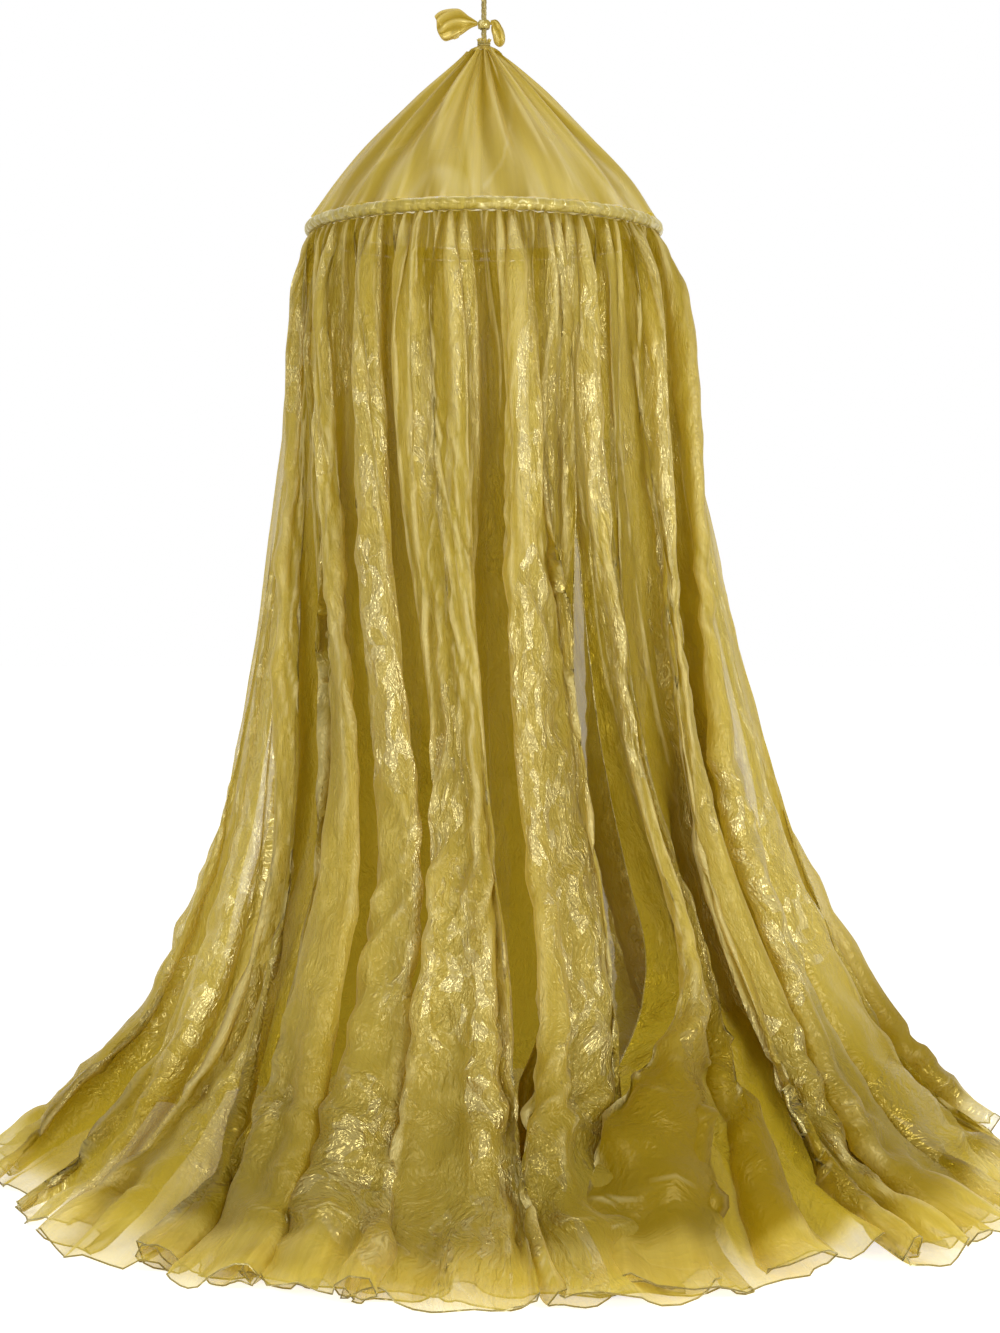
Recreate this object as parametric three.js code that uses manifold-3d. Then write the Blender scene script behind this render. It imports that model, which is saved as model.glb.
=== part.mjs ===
// A bed crown canopy: a hoop that hangs on one cord, with a cone of sheer cloth above it and two long
// curtain panels below it, which part at an entry slit and pool on the floor. Millimetres, +Z up.
// The origin is the hang point, the inner top of the cord's eye, and the slit is at the front, facing -Y.
import * as THREE from "three";
import { mergeVertices } from "three/addons/utils/BufferGeometryUtils.js";
import Module from "manifold-3d";

const wasm = await Module();
wasm.setup();

// Heights below the hang point
const floorDrop = 2050;
const hoopDrop = 475;
const coneTopDrop = 177;
const bowDrop = 131;
const loopKnotDrop = 63;

// Clearances
const seam = 0.3; // between pieces that are sewn, seated or butted together
const bore = 0.5; // round the cord, so that the canopy turns freely on it
const overrun = 2; // how far a cut runs past the face that it opens

// Cord, its eye and its two knots
const cordRadius = 4.7;
const cordSides = 12;
const eyeHalfWidth = 17.5;
const eyeLegGap = 1.2;
// The eye's left half, from its foot up: how far each point is on the way out to eyeHalfWidth, and up
const eyeShares = [
  { outShare: 0.55, upShare: 0.32 },
  { outShare: 1, upShare: 0.6 },
  { outShare: 0.79, upShare: 0.83 },
  { outShare: 0.17, upShare: 0.97 },
];
const eyeSteps = 30;
const cordSteps = 6;
const loopKnotRadius = 13.5;
const loopKnotHeight = 26;
const stopperRadius = 14;
const stopperHeight = 24;
const knotProfileShares = [
  { radiusShare: 0.78, heightShare: 0 },
  { radiusShare: 0.96, heightShare: 0.25 },
  { radiusShare: 1, heightShare: 0.5 },
  { radiusShare: 0.96, heightShare: 0.75 },
  { radiusShare: 0.78, heightShare: 1 },
];
const knotSides = 20;

// Gather, where the cone is drawn together round the cord, and the thread wound round it
const gatherHeight = 21;
const gatherFootRadius = 24;
const gatherNeckRadius = 9;
const gatherPleats = 12;
const gatherColumnsPerPleat = 4;
const pleatDepth = 2.6;
const neckFootShare = 0.4;
const neckTopShare = 0.78;
const gatherRows = [
  { heightShare: 0, spreadShare: 1, pleatShare: 0.5 },
  { heightShare: 0.24, spreadShare: 0.5, pleatShare: 1 },
  { heightShare: neckFootShare, spreadShare: 0, pleatShare: 0 },
  { heightShare: neckTopShare, spreadShare: 0, pleatShare: 0 },
  { heightShare: 0.9, spreadShare: 0.2, pleatShare: 0.6 },
  { heightShare: 1, spreadShare: 0.24, pleatShare: 0.8 },
];
const threadRadius = 1;
const threadGap = 0.5;
const threadTurns = 3;
const threadStepsPerTurn = 24;
const threadSides = 6;

// Bow of the same cloth, tied on the cord
const bowKnotRadius = 11;
const bowKnotHeight = 15;
const earSides = 12;
const leftEarLength = 67;
const leftEarHalfHeight = 24.5;
const leftEarHalfThickness = 10;
const leftEarDroop = 26;
const leftEarShares = [
  { alongShare: 0, dropShare: -0.08, heightShare: 0.13, thickShare: 0.35 },
  { alongShare: 0.21, dropShare: -0.14, heightShare: 0.42, thickShare: 0.6 },
  { alongShare: 0.46, dropShare: -0.15, heightShare: 0.84, thickShare: 0.9 },
  { alongShare: 0.72, dropShare: 0.04, heightShare: 1, thickShare: 1 },
  { alongShare: 0.9, dropShare: 0.33, heightShare: 0.82, thickShare: 0.8 },
  { alongShare: 1, dropShare: 0.42, heightShare: 0.56, thickShare: 0.4 },
];
const rightEarLength = 16;
const rightEarDroop = 37;
const rightEarHalfHeight = 9.5;
const rightEarHalfThickness = 8;
const rightEarShares = [
  { alongShare: 0, dropShare: -0.12, heightShare: 0.35, thickShare: 0.4 },
  { alongShare: 0.38, dropShare: -0.08, heightShare: 0.66, thickShare: 0.7 },
  { alongShare: 0.7, dropShare: 0.22, heightShare: 0.95, thickShare: 1 },
  { alongShare: 0.92, dropShare: 0.62, heightShare: 1, thickShare: 1 },
  { alongShare: 1, dropShare: 1, heightShare: 0.6, thickShare: 0.5 },
];

// Hoop: rods joined by ferrules, inside a cloth casing that has an insertion gap at the back
const hoopRadius = 290;
const hoopSegments = 48;
const hoopTubeSides = 10;
const rodRadius = 5;
const rodCount = 4;
const ferruleWall = 2.9;
const casingWall = 2.5;
const casingGap = 18;
const ferruleRadius = rodRadius + seam + ferruleWall;
const casingBoreRadius = ferruleRadius + seam;
const casingRadius = casingBoreRadius + casingWall;

// Cone of cloth from the gather to the casing
const coneWall = 2;
const coneFoldDepth = 12;
const coneColumnsPerFold = 4;
const coneFoldShares = [1.1, 0.8, 1, 1.2, 0.9, 1, 0.8, 1.1, 1, 1.2, 0.9, 1, 1.1, 0.8, 1.2, 0.9];
const coneRows = [
  { heightShare: 0, radiusShare: 0, foldShare: 0.25 },
  { heightShare: 0.2, radiusShare: 0.16, foldShare: 0.7 },
  { heightShare: 0.45, radiusShare: 0.4, foldShare: 1 },
  { heightShare: 0.7, radiusShare: 0.66, foldShare: 0.95 },
  { heightShare: 0.88, radiusShare: 0.86, foldShare: 0.5 },
  { heightShare: 1, radiusShare: 1, foldShare: 0.1 },
];

// Curtain: its wall, its reach on the floor and its folds
const curtainWall = 2;
const hemRadius = 828;
const hemLobe = 44;
const foldDepth = 100;
const curtainColumnsPerFold = 5;
// From the casing down to the floor and out to the hem. heightShare is of the curtain's drop,
// reachShare of the hem's reach past the hoop, and foldShare and lobeShare of the sizes above.
const curtainRows = [
  { heightShare: 1, reachShare: 0, foldShare: 0.02, lobeShare: 0 },
  { heightShare: 0.978, reachShare: 0.006, foldShare: 0.17, lobeShare: 0 },
  { heightShare: 0.93, reachShare: 0.014, foldShare: 0.38, lobeShare: 0 },
  { heightShare: 0.81, reachShare: 0.021, foldShare: 0.56, lobeShare: 0 },
  { heightShare: 0.64, reachShare: 0.062, foldShare: 0.75, lobeShare: 0 },
  { heightShare: 0.49, reachShare: 0.129, foldShare: 0.88, lobeShare: 0 },
  { heightShare: 0.35, reachShare: 0.223, foldShare: 0.95, lobeShare: 0 },
  { heightShare: 0.258, reachShare: 0.322, foldShare: 1, lobeShare: 0 },
  { heightShare: 0.178, reachShare: 0.425, foldShare: 0.98, lobeShare: 0 },
  { heightShare: 0.108, reachShare: 0.536, foldShare: 0.92, lobeShare: 0 },
  { heightShare: 0.047, reachShare: 0.66, foldShare: 0.74, lobeShare: 0 },
  { heightShare: 0, reachShare: 0.8, foldShare: 0.46, lobeShare: 0.3 },
  { heightShare: 0, reachShare: 1, foldShare: 0.1, lobeShare: 1 },
];

// Entry slit: its place at the hoop, in degrees to the right of the front, and how far each panel's
// edge is drawn back from it, as shares of slitSweep for the rows above
const slitAngle = 25.4;
const slitSweep = 8;
const slitPull = 40; // degrees of cloth over which an edge's draw fades
const leftEdgeShares = [0.01, 0.01, 0.01, 0.02, 0.26, 0.51, 0.68, 0.73, 0.73, 0.83, 0.7, 0.3, 0.01];
const rightEdgeShares = [0.01, 0.01, 0.01, 0.02, 0.25, 0.36, 0.76, 0.95, 1.03, 0.89, 0.7, 0.3, 0.01];

// The two panels, from the slit round to the back. foldShares are the folds' widths, in the order
// in which they come, and gores says how many folds each gore takes.
const fullTurn = 360;
const halfTurn = fullTurn / 2;
const panels = [
  {
    side: "left",
    turn: -1,
    sweep: halfTurn + slitAngle,
    edgeShares: leftEdgeShares,
    foldShares: [18.3, 18.5, 11.5, 13.5, 14.5, 16, 17, 18, 19, 20, 20, 19],
    gores: [
      { name: "front", folds: 4 },
      { name: "side", folds: 4 },
      { name: "back", folds: 4 },
    ],
  },
  {
    side: "right",
    turn: 1,
    sweep: halfTurn - slitAngle,
    edgeShares: rightEdgeShares,
    foldShares: [9.5, 14.5, 12.5, 15, 16, 17, 17, 18, 18, 17],
    gores: [
      { name: "front", folds: 4 },
      { name: "side", folds: 3 },
      { name: "back", folds: 3 },
    ],
  },
];

// Finishes
const organza = { color: 0xb9a15a, roughness: 0.42, metalness: 0 };
const band = { color: 0xaa913c, roughness: 0.45, metalness: 0 };
const rope = { color: 0xa08a44, roughness: 0.8, metalness: 0 };
const plastic = { color: 0xe6e4dc, roughness: 0.5, metalness: 0 };
const fibreglass = { color: 0xd9d5c4, roughness: 0.4, metalness: 0 };

const radians = THREE.MathUtils.degToRad;
const lerp = THREE.MathUtils.lerp;
const total = (shares) => shares.reduce((sum, share) => sum + share, 0);

// A named mesh with a material of its own.
function piece(name, geometry, finish) {
  const mesh = new THREE.Mesh(geometry, new THREE.MeshStandardMaterial(finish));
  mesh.name = name;
  return mesh;
}

// A point at a radius and an angle in degrees, measured from the front (-Y) towards +X.
function onTurn(radius, angle, z) {
  return new THREE.Vector3(radius * Math.sin(radians(angle)), -radius * Math.cos(radians(angle)), z);
}

// The signed volume that an indexed surface encloses, which is negative if it faces inwards.
function enclosed(points, faces) {
  let volume = 0;
  for (let i = 0; i < faces.length; i += 3) {
    const [a, b, c] = [points[faces[i]], points[faces[i + 1]], points[faces[i + 2]]];
    volume += a.dot(b.clone().cross(c));
  }
  return volume;
}

// One closed body through a row of sections. Each section lists its points once round, with the
// second half going back along the first, so an open row's ends close from point to point across.
function skin(sections, joined) {
  const around = sections[0].length;
  const points = sections.flat();
  const faces = [];
  const at = (section, i) => (section % sections.length) * around + (i % around);
  const quad = (a, b, c, d) => faces.push(a, b, c, a, c, d);
  const spans = joined ? sections.length : sections.length - 1;
  // The way back is split along the same diagonals as the way out, so a thin wall's two faces never cross
  for (let s = 0; s < spans; s++)
    for (let i = 0; i < around; i++) {
      const corners = [at(s, i), at(s + 1, i), at(s + 1, i + 1), at(s, i + 1)];
      if (i >= around / 2) corners.push(corners.shift());
      quad(...corners);
    }
  if (!joined) {
    for (let i = 0; i < around / 2 - 1; i++) {
      const back = around - 1 - i;
      quad(at(0, i), at(0, i + 1), at(0, back - 1), at(0, back));
      quad(at(spans, i), at(spans, back), at(spans, back - 1), at(spans, i + 1));
    }
  }
  if (enclosed(points, faces) < 0) faces.reverse();
  const geometry = new THREE.BufferGeometry().setFromPoints(points);
  geometry.setIndex(faces);
  geometry.computeVertexNormals();
  return geometry;
}

// A solid for cutting, from a geometry whose shared points are merged.
function solidOf(geometry) {
  const bare = geometry.clone();
  bare.deleteAttribute("normal");
  bare.deleteAttribute("uv");
  const merged = mergeVertices(bare);
  const vertProperties = merged.attributes.position.array;
  const triVerts = new Uint32Array(merged.index.array);
  return new wasm.Manifold(new wasm.Mesh({ numProp: 3, vertProperties, triVerts }));
}

// The geometry of a solid that has been cut.
function geometryOf(solid) {
  const mesh = solid.getMesh();
  const geometry = new THREE.BufferGeometry();
  geometry.setAttribute("position", new THREE.BufferAttribute(mesh.vertProperties, mesh.numProp));
  geometry.setIndex(new THREE.BufferAttribute(mesh.triVerts, 1));
  return geometry;
}

// The places of a ring's points, in radians, set half a step off so that skin can close its ends.
function ringAngles(sides) {
  return Array.from({ length: sides }, (_, i) => ((i + 0.5) / sides) * 2 * Math.PI);
}

// A round body turned about the Z axis from its profile of [radius, height] pairs.
function turned(profile, sides) {
  const points = profile.map(([radius, height]) => new THREE.Vector2(radius, height));
  return new THREE.LatheGeometry(points, sides).rotateX(Math.PI / 2);
}

// A round tube along a curve, with flat ends.
function tube(curve, radius, sides, steps) {
  const corners = ringAngles(sides).map(
    (angle) => new THREE.Vector2(radius * Math.cos(angle), radius * Math.sin(angle)),
  );
  const section = new THREE.Shape(corners);
  return new THREE.ExtrudeGeometry(section, { steps, extrudePath: curve, bevelEnabled: false });
}

// Hanging cord: the eye at the origin, the knot under it, the free stretch, and the stopper knot
// that carries the gather from inside the cone
const loopKnotTop = -loopKnotDrop + loopKnotHeight / 2;
const loopKnotFoot = loopKnotTop - loopKnotHeight;
const stopperTop = -coneTopDrop - seam;

function knotProfile(radius, height, top) {
  const side = knotProfileShares.map(({ radiusShare, heightShare }) => [
    radius * radiusShare,
    top - height + height * heightShare,
  ]);
  return [[0, top - height], ...side, [0, top]];
}

function hangingLoop() {
  const leg = cordRadius + eyeLegGap / 2;
  const foot = loopKnotTop + seam;
  const half = [
    [leg, foot],
    [leg, foot + cordRadius],
    ...eyeShares.map(({ outShare, upShare }) => [
      lerp(leg, eyeHalfWidth, outShare),
      lerp(foot, cordRadius, upShare),
    ]),
  ];
  const route = [
    ...half.map(([x, z]) => new THREE.Vector3(-x, 0, z)),
    new THREE.Vector3(0, 0, cordRadius),
    ...half.reverse().map(([x, z]) => new THREE.Vector3(x, 0, z)),
  ];
  return tube(new THREE.CatmullRomCurve3(route), cordRadius, cordSides, eyeSteps);
}

function hangingCord() {
  const top = new THREE.Vector3(0, 0, loopKnotFoot - seam);
  const foot = new THREE.Vector3(0, 0, stopperTop + seam);
  return tube(new THREE.LineCurve3(foot, top), cordRadius, cordSides, cordSteps);
}

const hanger = new THREE.Group();
hanger.add(
  piece("hanging_loop", hangingLoop(), rope),
  piece("loop_knot", turned(knotProfile(loopKnotRadius, loopKnotHeight, loopKnotTop), knotSides), rope),
  piece("hanging_cord", hangingCord(), rope),
  piece("stopper_knot", turned(knotProfile(stopperRadius, stopperHeight, stopperTop), knotSides), rope),
);

// Gather: a pleated collar round the cord
const gatherFoot = -coneTopDrop + seam;

function gather() {
  const inner = cordRadius + bore;
  const columns = gatherPleats * gatherColumnsPerPleat;
  const sections = Array.from({ length: columns }, (_, column) => {
    const angle = (column / columns) * fullTurn;
    const wave = (1 + Math.cos(radians(angle * gatherPleats))) / 2;
    const outer = gatherRows.map(({ heightShare, spreadShare, pleatShare }) => {
      const radius = lerp(gatherNeckRadius, gatherFootRadius, spreadShare) - pleatDepth * pleatShare * wave;
      return onTurn(radius, angle, gatherFoot + gatherHeight * heightShare);
    });
    return [...outer, onTurn(inner, angle, gatherFoot + gatherHeight), onTurn(inner, angle, gatherFoot)];
  });
  return skin(sections, true);
}

// Binding: one thread wound round the gather's neck. Its turns are drawn out so that the flats of
// their facets still clear the neck.
function binding() {
  const faceted = Math.cos(Math.PI / threadStepsPerTurn);
  const radius = (gatherNeckRadius + seam + threadRadius) / faceted;
  const pitch = 2 * threadRadius + threadGap;
  const steps = threadTurns * threadStepsPerTurn;
  const neckMiddle = gatherFoot + (gatherHeight * (neckFootShare + neckTopShare)) / 2;
  const foot = neckMiddle - (pitch * threadTurns) / 2;
  const sections = Array.from({ length: steps + 1 }, (_, step) => {
    const turns = step / threadStepsPerTurn;
    return ringAngles(threadSides).map((angle) =>
      onTurn(
        radius + threadRadius * Math.cos(angle),
        turns * fullTurn,
        foot + pitch * turns + threadRadius * Math.sin(angle),
      ),
    );
  });
  let least = Infinity;
  for (let a = 0; a < sections.length; a++)
    for (let b = a + threadStepsPerTurn / 2; b < sections.length; b++)
      for (const p of sections[a])
        for (const q of sections[b]) least = Math.min(least, p.distanceTo(q));
  console.log(`neck_binding: least gap between its turns ${least.toFixed(2)} mm`);
  return skin(sections, false);
}

// Bow: a round knot on the cord, with an ear on each side
function bowKnot() {
  const inner = cordRadius + bore;
  const rim = knotProfile(bowKnotRadius, bowKnotHeight, -bowDrop + bowKnotHeight / 2).slice(1, -1);
  const foot = rim[0][1];
  const top = rim[rim.length - 1][1];
  return turned([[inner, foot], ...rim, [inner, top], [inner, foot]], knotSides);
}

function ear(turn, length, droop, halfHeight, halfThickness, shares) {
  const middles = shares.map(({ alongShare, dropShare }) => {
    const x = turn * (bowKnotRadius + seam + length * alongShare);
    return new THREE.Vector3(x, 0, -bowDrop - droop * dropShare);
  });
  const sections = middles.map((middle, i) => {
    const ahead = middles[Math.min(i + 1, middles.length - 1)];
    const behind = middles[Math.max(i - 1, 0)];
    const along = i === 0 ? new THREE.Vector3(turn, 0, 0) : ahead.clone().sub(behind).normalize();
    const across = new THREE.Vector3(-along.z, 0, along.x);
    return ringAngles(earSides).map((angle) =>
      middle
        .clone()
        .addScaledVector(across, halfHeight * shares[i].heightShare * Math.cos(angle))
        .add(new THREE.Vector3(0, halfThickness * shares[i].thickShare * Math.sin(angle), 0)),
    );
  });
  return skin(sections, false);
}

const crown = new THREE.Group();
crown.add(
  piece("neck_gather", gather(), organza),
  piece("neck_binding", binding(), band),
  piece("bow_knot", bowKnot(), organza),
  piece(
    "bow_loop_left",
    ear(-1, leftEarLength, leftEarDroop, leftEarHalfHeight, leftEarHalfThickness, leftEarShares),
    organza,
  ),
  piece(
    "bow_loop_right",
    ear(1, rightEarLength, rightEarDroop, rightEarHalfHeight, rightEarHalfThickness, rightEarShares),
    organza,
  ),
);

// Where each column of a folded cloth lies: its angle round the cloth, and how far it has risen
// through its fold, from 0 in the valleys to about 1 on the crest, more on a wide fold than on a
// narrow one. shares are the folds' widths.
function foldColumns(shares, sweep, perFold) {
  const columns = [];
  const whole = total(shares);
  const mean = whole / shares.length;
  let start = 0;
  for (const share of shares) {
    for (let i = 0; i < perFold; i++) {
      const within = i / perFold;
      const wave = (1 - Math.cos(within * 2 * Math.PI)) / 2;
      const arc = ((start + share * within) / whole) * sweep;
      columns.push({ arc, rise: wave * Math.sqrt(share / mean) });
    }
    start += share;
  }
  columns.push({ arc: sweep, rise: 0 });
  return columns;
}

// Cone: a folded shell between the gather and the top of the casing
function cone() {
  const foot = -hoopDrop + casingRadius + seam;
  const top = -coneTopDrop;
  const topRadius = gatherFootRadius - coneFoldDepth * coneRows.at(-1).foldShare;
  const columns = foldColumns(coneFoldShares, fullTurn, coneColumnsPerFold).slice(0, -1);
  const sections = columns.map(({ arc, rise }) => {
    const side = (offset) =>
      coneRows.map(({ heightShare, radiusShare, foldShare }) => {
        const radius = lerp(hoopRadius, topRadius, radiusShare) + coneFoldDepth * foldShare * rise;
        return onTurn(radius + offset, arc, lerp(foot, top, heightShare));
      });
    return [...side(0), ...side(-coneWall).reverse()];
  });
  return skin(sections, true);
}

crown.add(piece("crown_cone", cone(), organza));

// Hoop: all its tubes follow one polygon of hoopSegments straight sides, so they nest without
// touching. A tube is given by the angles where it starts and ends.
const segmentAngle = fullTurn / hoopSegments;

function hoopTube(from, to, radius) {
  const corners = [from];
  for (let i = Math.ceil(from / segmentAngle - 0.5); (i + 0.5) * segmentAngle < to; i++)
    if ((i + 0.5) * segmentAngle > from) corners.push((i + 0.5) * segmentAngle);
  corners.push(to);
  const sections = corners.map((angle) => {
    const middle = Math.round(angle / segmentAngle) * segmentAngle;
    const flat = Math.cos(radians(segmentAngle / 2)) / Math.cos(radians(angle - middle));
    return ringAngles(hoopTubeSides).map((around) =>
      onTurn((hoopRadius + radius * Math.cos(around)) * flat, angle, -hoopDrop + radius * Math.sin(around)),
    );
  });
  return skin(sections, false);
}

// The angle that a length takes up along the hoop.
const alongHoop = (length) => THREE.MathUtils.radToDeg(length / hoopRadius);

function casing() {
  const from = -halfTurn + alongHoop(casingGap / 2);
  const to = halfTurn - alongHoop(casingGap / 2);
  const outer = solidOf(hoopTube(from, to, casingRadius));
  const inner = solidOf(hoopTube(from - alongHoop(overrun), to + alongHoop(overrun), casingBoreRadius));
  return geometryOf(outer.subtract(inner));
}

function ferrule(middle) {
  const half = segmentAngle / 2;
  const outer = solidOf(hoopTube(middle - half, middle + half, ferruleRadius));
  const run = half - alongHoop(seam);
  const reach = run + alongHoop(overrun);
  const inner = hoopTube(middle - reach, middle + reach, rodRadius + seam);
  return geometryOf(outer.subtract(solidOf(inner)));
}

const hoop = new THREE.Group();
hoop.add(piece("hoop_casing", casing(), band));
const rodAngle = fullTurn / rodCount;
for (let i = 0; i < rodCount; i++) {
  const joint = rodAngle / 2 + i * rodAngle;
  const clear = alongHoop(seam / 2);
  const rod = hoopTube(joint - rodAngle + clear, joint - clear, rodRadius);
  hoop.add(piece(`hoop_segment_${i + 1}`, rod, fibreglass));
  hoop.add(piece(`hoop_connector_${i + 1}`, ferrule(joint), plastic));
}

// Curtain: the direction in which each row's folds rise, at right angles to the profile, level
// under the casing and straight up on the floor
const curtainDrop = floorDrop - hoopDrop - casingRadius - seam;
const curtainReach = hemRadius - hoopRadius;
const curtainProfile = curtainRows.map(({ heightShare, reachShare }) => ({
  radius: hoopRadius - curtainWall / 2 + curtainReach * reachShare,
  height: curtainDrop * heightShare,
}));

function riseOf(row) {
  if (row === 0) return { out: 1, up: 0 };
  if (curtainProfile[row].height === 0) return { out: 0, up: 1 };
  const above = curtainProfile[row - 1];
  const below = curtainProfile[row + 1];
  const out = above.height - below.height;
  const up = below.radius - above.radius;
  const length = Math.hypot(out, up);
  return { out: out / length, up: up / length };
}

// A curtain point. Its lift is how far the fold has risen there, and wall is the curtain's wall on
// the outside and 0 on the inside, which stays flat on the floor.
function curtainPoint(panel, { arc, rise }, row, wall, inset) {
  const { foldShare, lobeShare } = curtainRows[row];
  const { radius, height } = curtainProfile[row];
  const direction = riseOf(row);
  const lift = height === 0 && wall === 0 ? 0 : foldDepth * foldShare * rise;
  const reach = radius + hemLobe * lobeShare * rise + direction.out * (lift + wall);
  const fade = Math.max(0, 1 - arc / slitPull);
  const pulled = arc + slitSweep * panel.edgeShares[row] * fade;
  const inward = THREE.MathUtils.radToDeg(inset / reach);
  const angle = slitAngle + panel.turn * (pulled + inward);
  return onTurn(reach, angle, -floorDrop + height + direction.up * (lift + wall));
}

function gore(panel, columns, first, last) {
  const edge = seam / 2;
  const sections = columns.map((column) => {
    const inset = column === first ? edge : column === last ? -edge : 0;
    const side = (wall) => curtainRows.map((_, row) => curtainPoint(panel, column, row, wall, inset));
    return [...side(curtainWall), ...side(0).reverse()];
  });
  return skin(sections, false);
}

const curtain = new THREE.Group();
for (const panel of panels) {
  const columns = foldColumns(panel.foldShares, panel.sweep, curtainColumnsPerFold);
  let start = 0;
  for (const { name, folds } of panel.gores) {
    const end = start + folds * curtainColumnsPerFold;
    const taken = columns.slice(start, end + 1);
    const body = gore(panel, taken, taken[0], taken.at(-1));
    curtain.add(piece(`curtain_${panel.side}_${name}`, body, organza));
    start = end;
  }
}

const canopy = new THREE.Group();
canopy.add(crown, hoop, curtain);

const bedCrownCanopy = new THREE.Group();
bedCrownCanopy.add(hanger, canopy);

export default bedCrownCanopy;
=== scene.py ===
import math
import bpy
import numpy as np
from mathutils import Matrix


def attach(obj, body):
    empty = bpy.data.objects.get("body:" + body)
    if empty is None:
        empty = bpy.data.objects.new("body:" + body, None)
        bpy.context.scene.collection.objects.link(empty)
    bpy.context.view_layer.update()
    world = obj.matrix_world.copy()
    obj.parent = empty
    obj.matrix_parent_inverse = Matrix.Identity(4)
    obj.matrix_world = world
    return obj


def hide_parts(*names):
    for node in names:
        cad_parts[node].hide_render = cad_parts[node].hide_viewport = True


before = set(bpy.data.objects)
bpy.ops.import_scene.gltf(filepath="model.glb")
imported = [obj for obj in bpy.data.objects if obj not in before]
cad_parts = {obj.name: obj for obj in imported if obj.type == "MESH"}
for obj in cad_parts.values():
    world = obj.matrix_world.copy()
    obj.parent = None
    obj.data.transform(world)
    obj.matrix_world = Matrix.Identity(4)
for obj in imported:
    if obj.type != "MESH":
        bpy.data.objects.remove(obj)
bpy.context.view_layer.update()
scene = bpy.context.scene
scene.view_settings.view_transform = "Standard"
scene.cycles.transparent_max_bounces = 28
floorLevel = -2.05
fullTurn = 2 * math.pi

# camera
cameraSettings = {
    "place": (0.027, -4.147, -1.093),
    "pitchDown": 1.586,  # degrees below level
    "lens": 66.3,
}


def makeCamera(settings):
    data = bpy.data.cameras.new("studioCamera")
    data.lens = settings["lens"]
    data.sensor_width = 36
    holder = bpy.data.objects.new("studioCamera", data)
    holder.location = settings["place"]
    holder.rotation_euler = (math.radians(90 - settings["pitchDown"]), 0, 0)
    scene.collection.objects.link(holder)
    scene.camera = holder


makeCamera(cameraSettings)
print("camera is set")


# shared helpers: noise, smooth tables and meshes from grids
def drift(x, y, seed):
    # smooth noise with a spacing of 1, about -1 to 1, which repeats after 128 cells
    cells = 128
    turn = np.random.default_rng(seed).uniform(0, fullTurn, (cells, cells))
    x, y = np.broadcast_arrays(x, y)
    cellX, cellY = np.floor(x).astype(int), np.floor(y).astype(int)
    inX, inY = x - cellX, y - cellY

    def corner(stepX, stepY):
        angle = turn[(cellX + stepX) % cells, (cellY + stepY) % cells]
        return np.cos(angle) * (inX - stepX) + np.sin(angle) * (inY - stepY)

    easeX, easeY = (t ** 3 * (t * (6 * t - 15) + 10) for t in (inX, inY))
    low, high = (corner(0, step) * (1 - easeX) + corner(1, step) * easeX for step in (0, 1))
    return 1.5 * (low * (1 - easeY) + high * easeY)


def smoothStep(low, high, x):
    t = np.clip((x - low) / (high - low), 0, 1)
    return t * t * (3 - 2 * t)


def smoothAlong(x, places, values):
    # a smooth line through a table that never swings past its values
    places, values = np.asarray(places, float), np.asarray(values, float)
    gaps = np.diff(places)
    slopes = np.diff(values) / gaps
    ends = np.zeros(len(places))
    inner = slopes[1:] * slopes[:-1]
    both = np.where(np.abs(slopes[1:] + slopes[:-1]) > 1e-12, slopes[1:] + slopes[:-1], 1)
    ends[1:-1] = np.where(inner > 0, 2 * inner / both, 0)
    ends[0], ends[-1] = slopes[0], slopes[-1]
    cell = np.clip(np.searchsorted(places, x, "right") - 1, 0, len(gaps) - 1)
    gap = gaps[cell]
    t = (x - places[cell]) / gap
    return (values[cell] * (1 + 2 * t) * (1 - t) ** 2 + ends[cell] * gap * t * (1 - t) ** 2
            + values[cell + 1] * t * t * (3 - 2 * t) + ends[cell + 1] * gap * t * t * (t - 1))


def sharpen(x, power):
    # raises the size of a wave to a power and keeps its sign
    return np.sign(x) * np.abs(x) ** power


def runningSum(sizes):
    return np.concatenate([[0], np.cumsum(sizes)])


def lengthAlong(points):
    return runningSum(np.linalg.norm(np.diff(points, axis=0), axis=1))


def findFolds(share, cloth, widths):
    # for each place across the cloth: which fold it lies in, how far across it, and how strong that fold is
    ends = runningSum(cloth)
    ends = ends / ends[-1]
    which = np.clip(np.searchsorted(ends, share, "right") - 1, 0, len(widths) - 1)
    within = ((share - ends[which]) / (ends[which + 1] - ends[which]))[:, None]
    return which, within, np.sqrt(widths / widths.mean())[which][:, None]


def ringPoints(radius, angle, height):
    # points round the hang axis, where an angle of 0 faces the front
    return np.stack(np.broadcast_arrays(radius * np.sin(angle), -radius * np.cos(angle), height), -1)


def clothPlaces(across, down):
    # each point's place on the flat cloth, in metres
    return np.stack(np.broadcast_arrays(across, down), -1)


def hiddenLayers(grid, cloth, most):
    # how many times over the cloth lies at each point, where it is gathered finer than the mesh shows
    across = np.gradient(cloth[..., 0], axis=0)
    step = np.linalg.norm(np.gradient(grid, axis=0), axis=2)
    layers = np.clip(across / np.maximum(step, 1e-5), 1, most)
    for _ in range(3):  # smoothed over its neighbours
        layers[1:-1] = (layers[:-2] + layers[1:-1] + layers[2:]) / 3
        layers[:, 1:-1] = (layers[:, :-2] + layers[:, 1:-1] + layers[:, 2:]) / 3
    return layers


def gridNormals(grid, closed=False):
    # unit normals of a grid of points, from its two directions
    around = np.roll(grid, -1, 0) - np.roll(grid, 1, 0) if closed else np.gradient(grid, axis=0)
    normal = np.cross(around, np.gradient(grid, axis=1))
    return normal / np.maximum(np.linalg.norm(normal, axis=2, keepdims=True), 1e-12)


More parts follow.
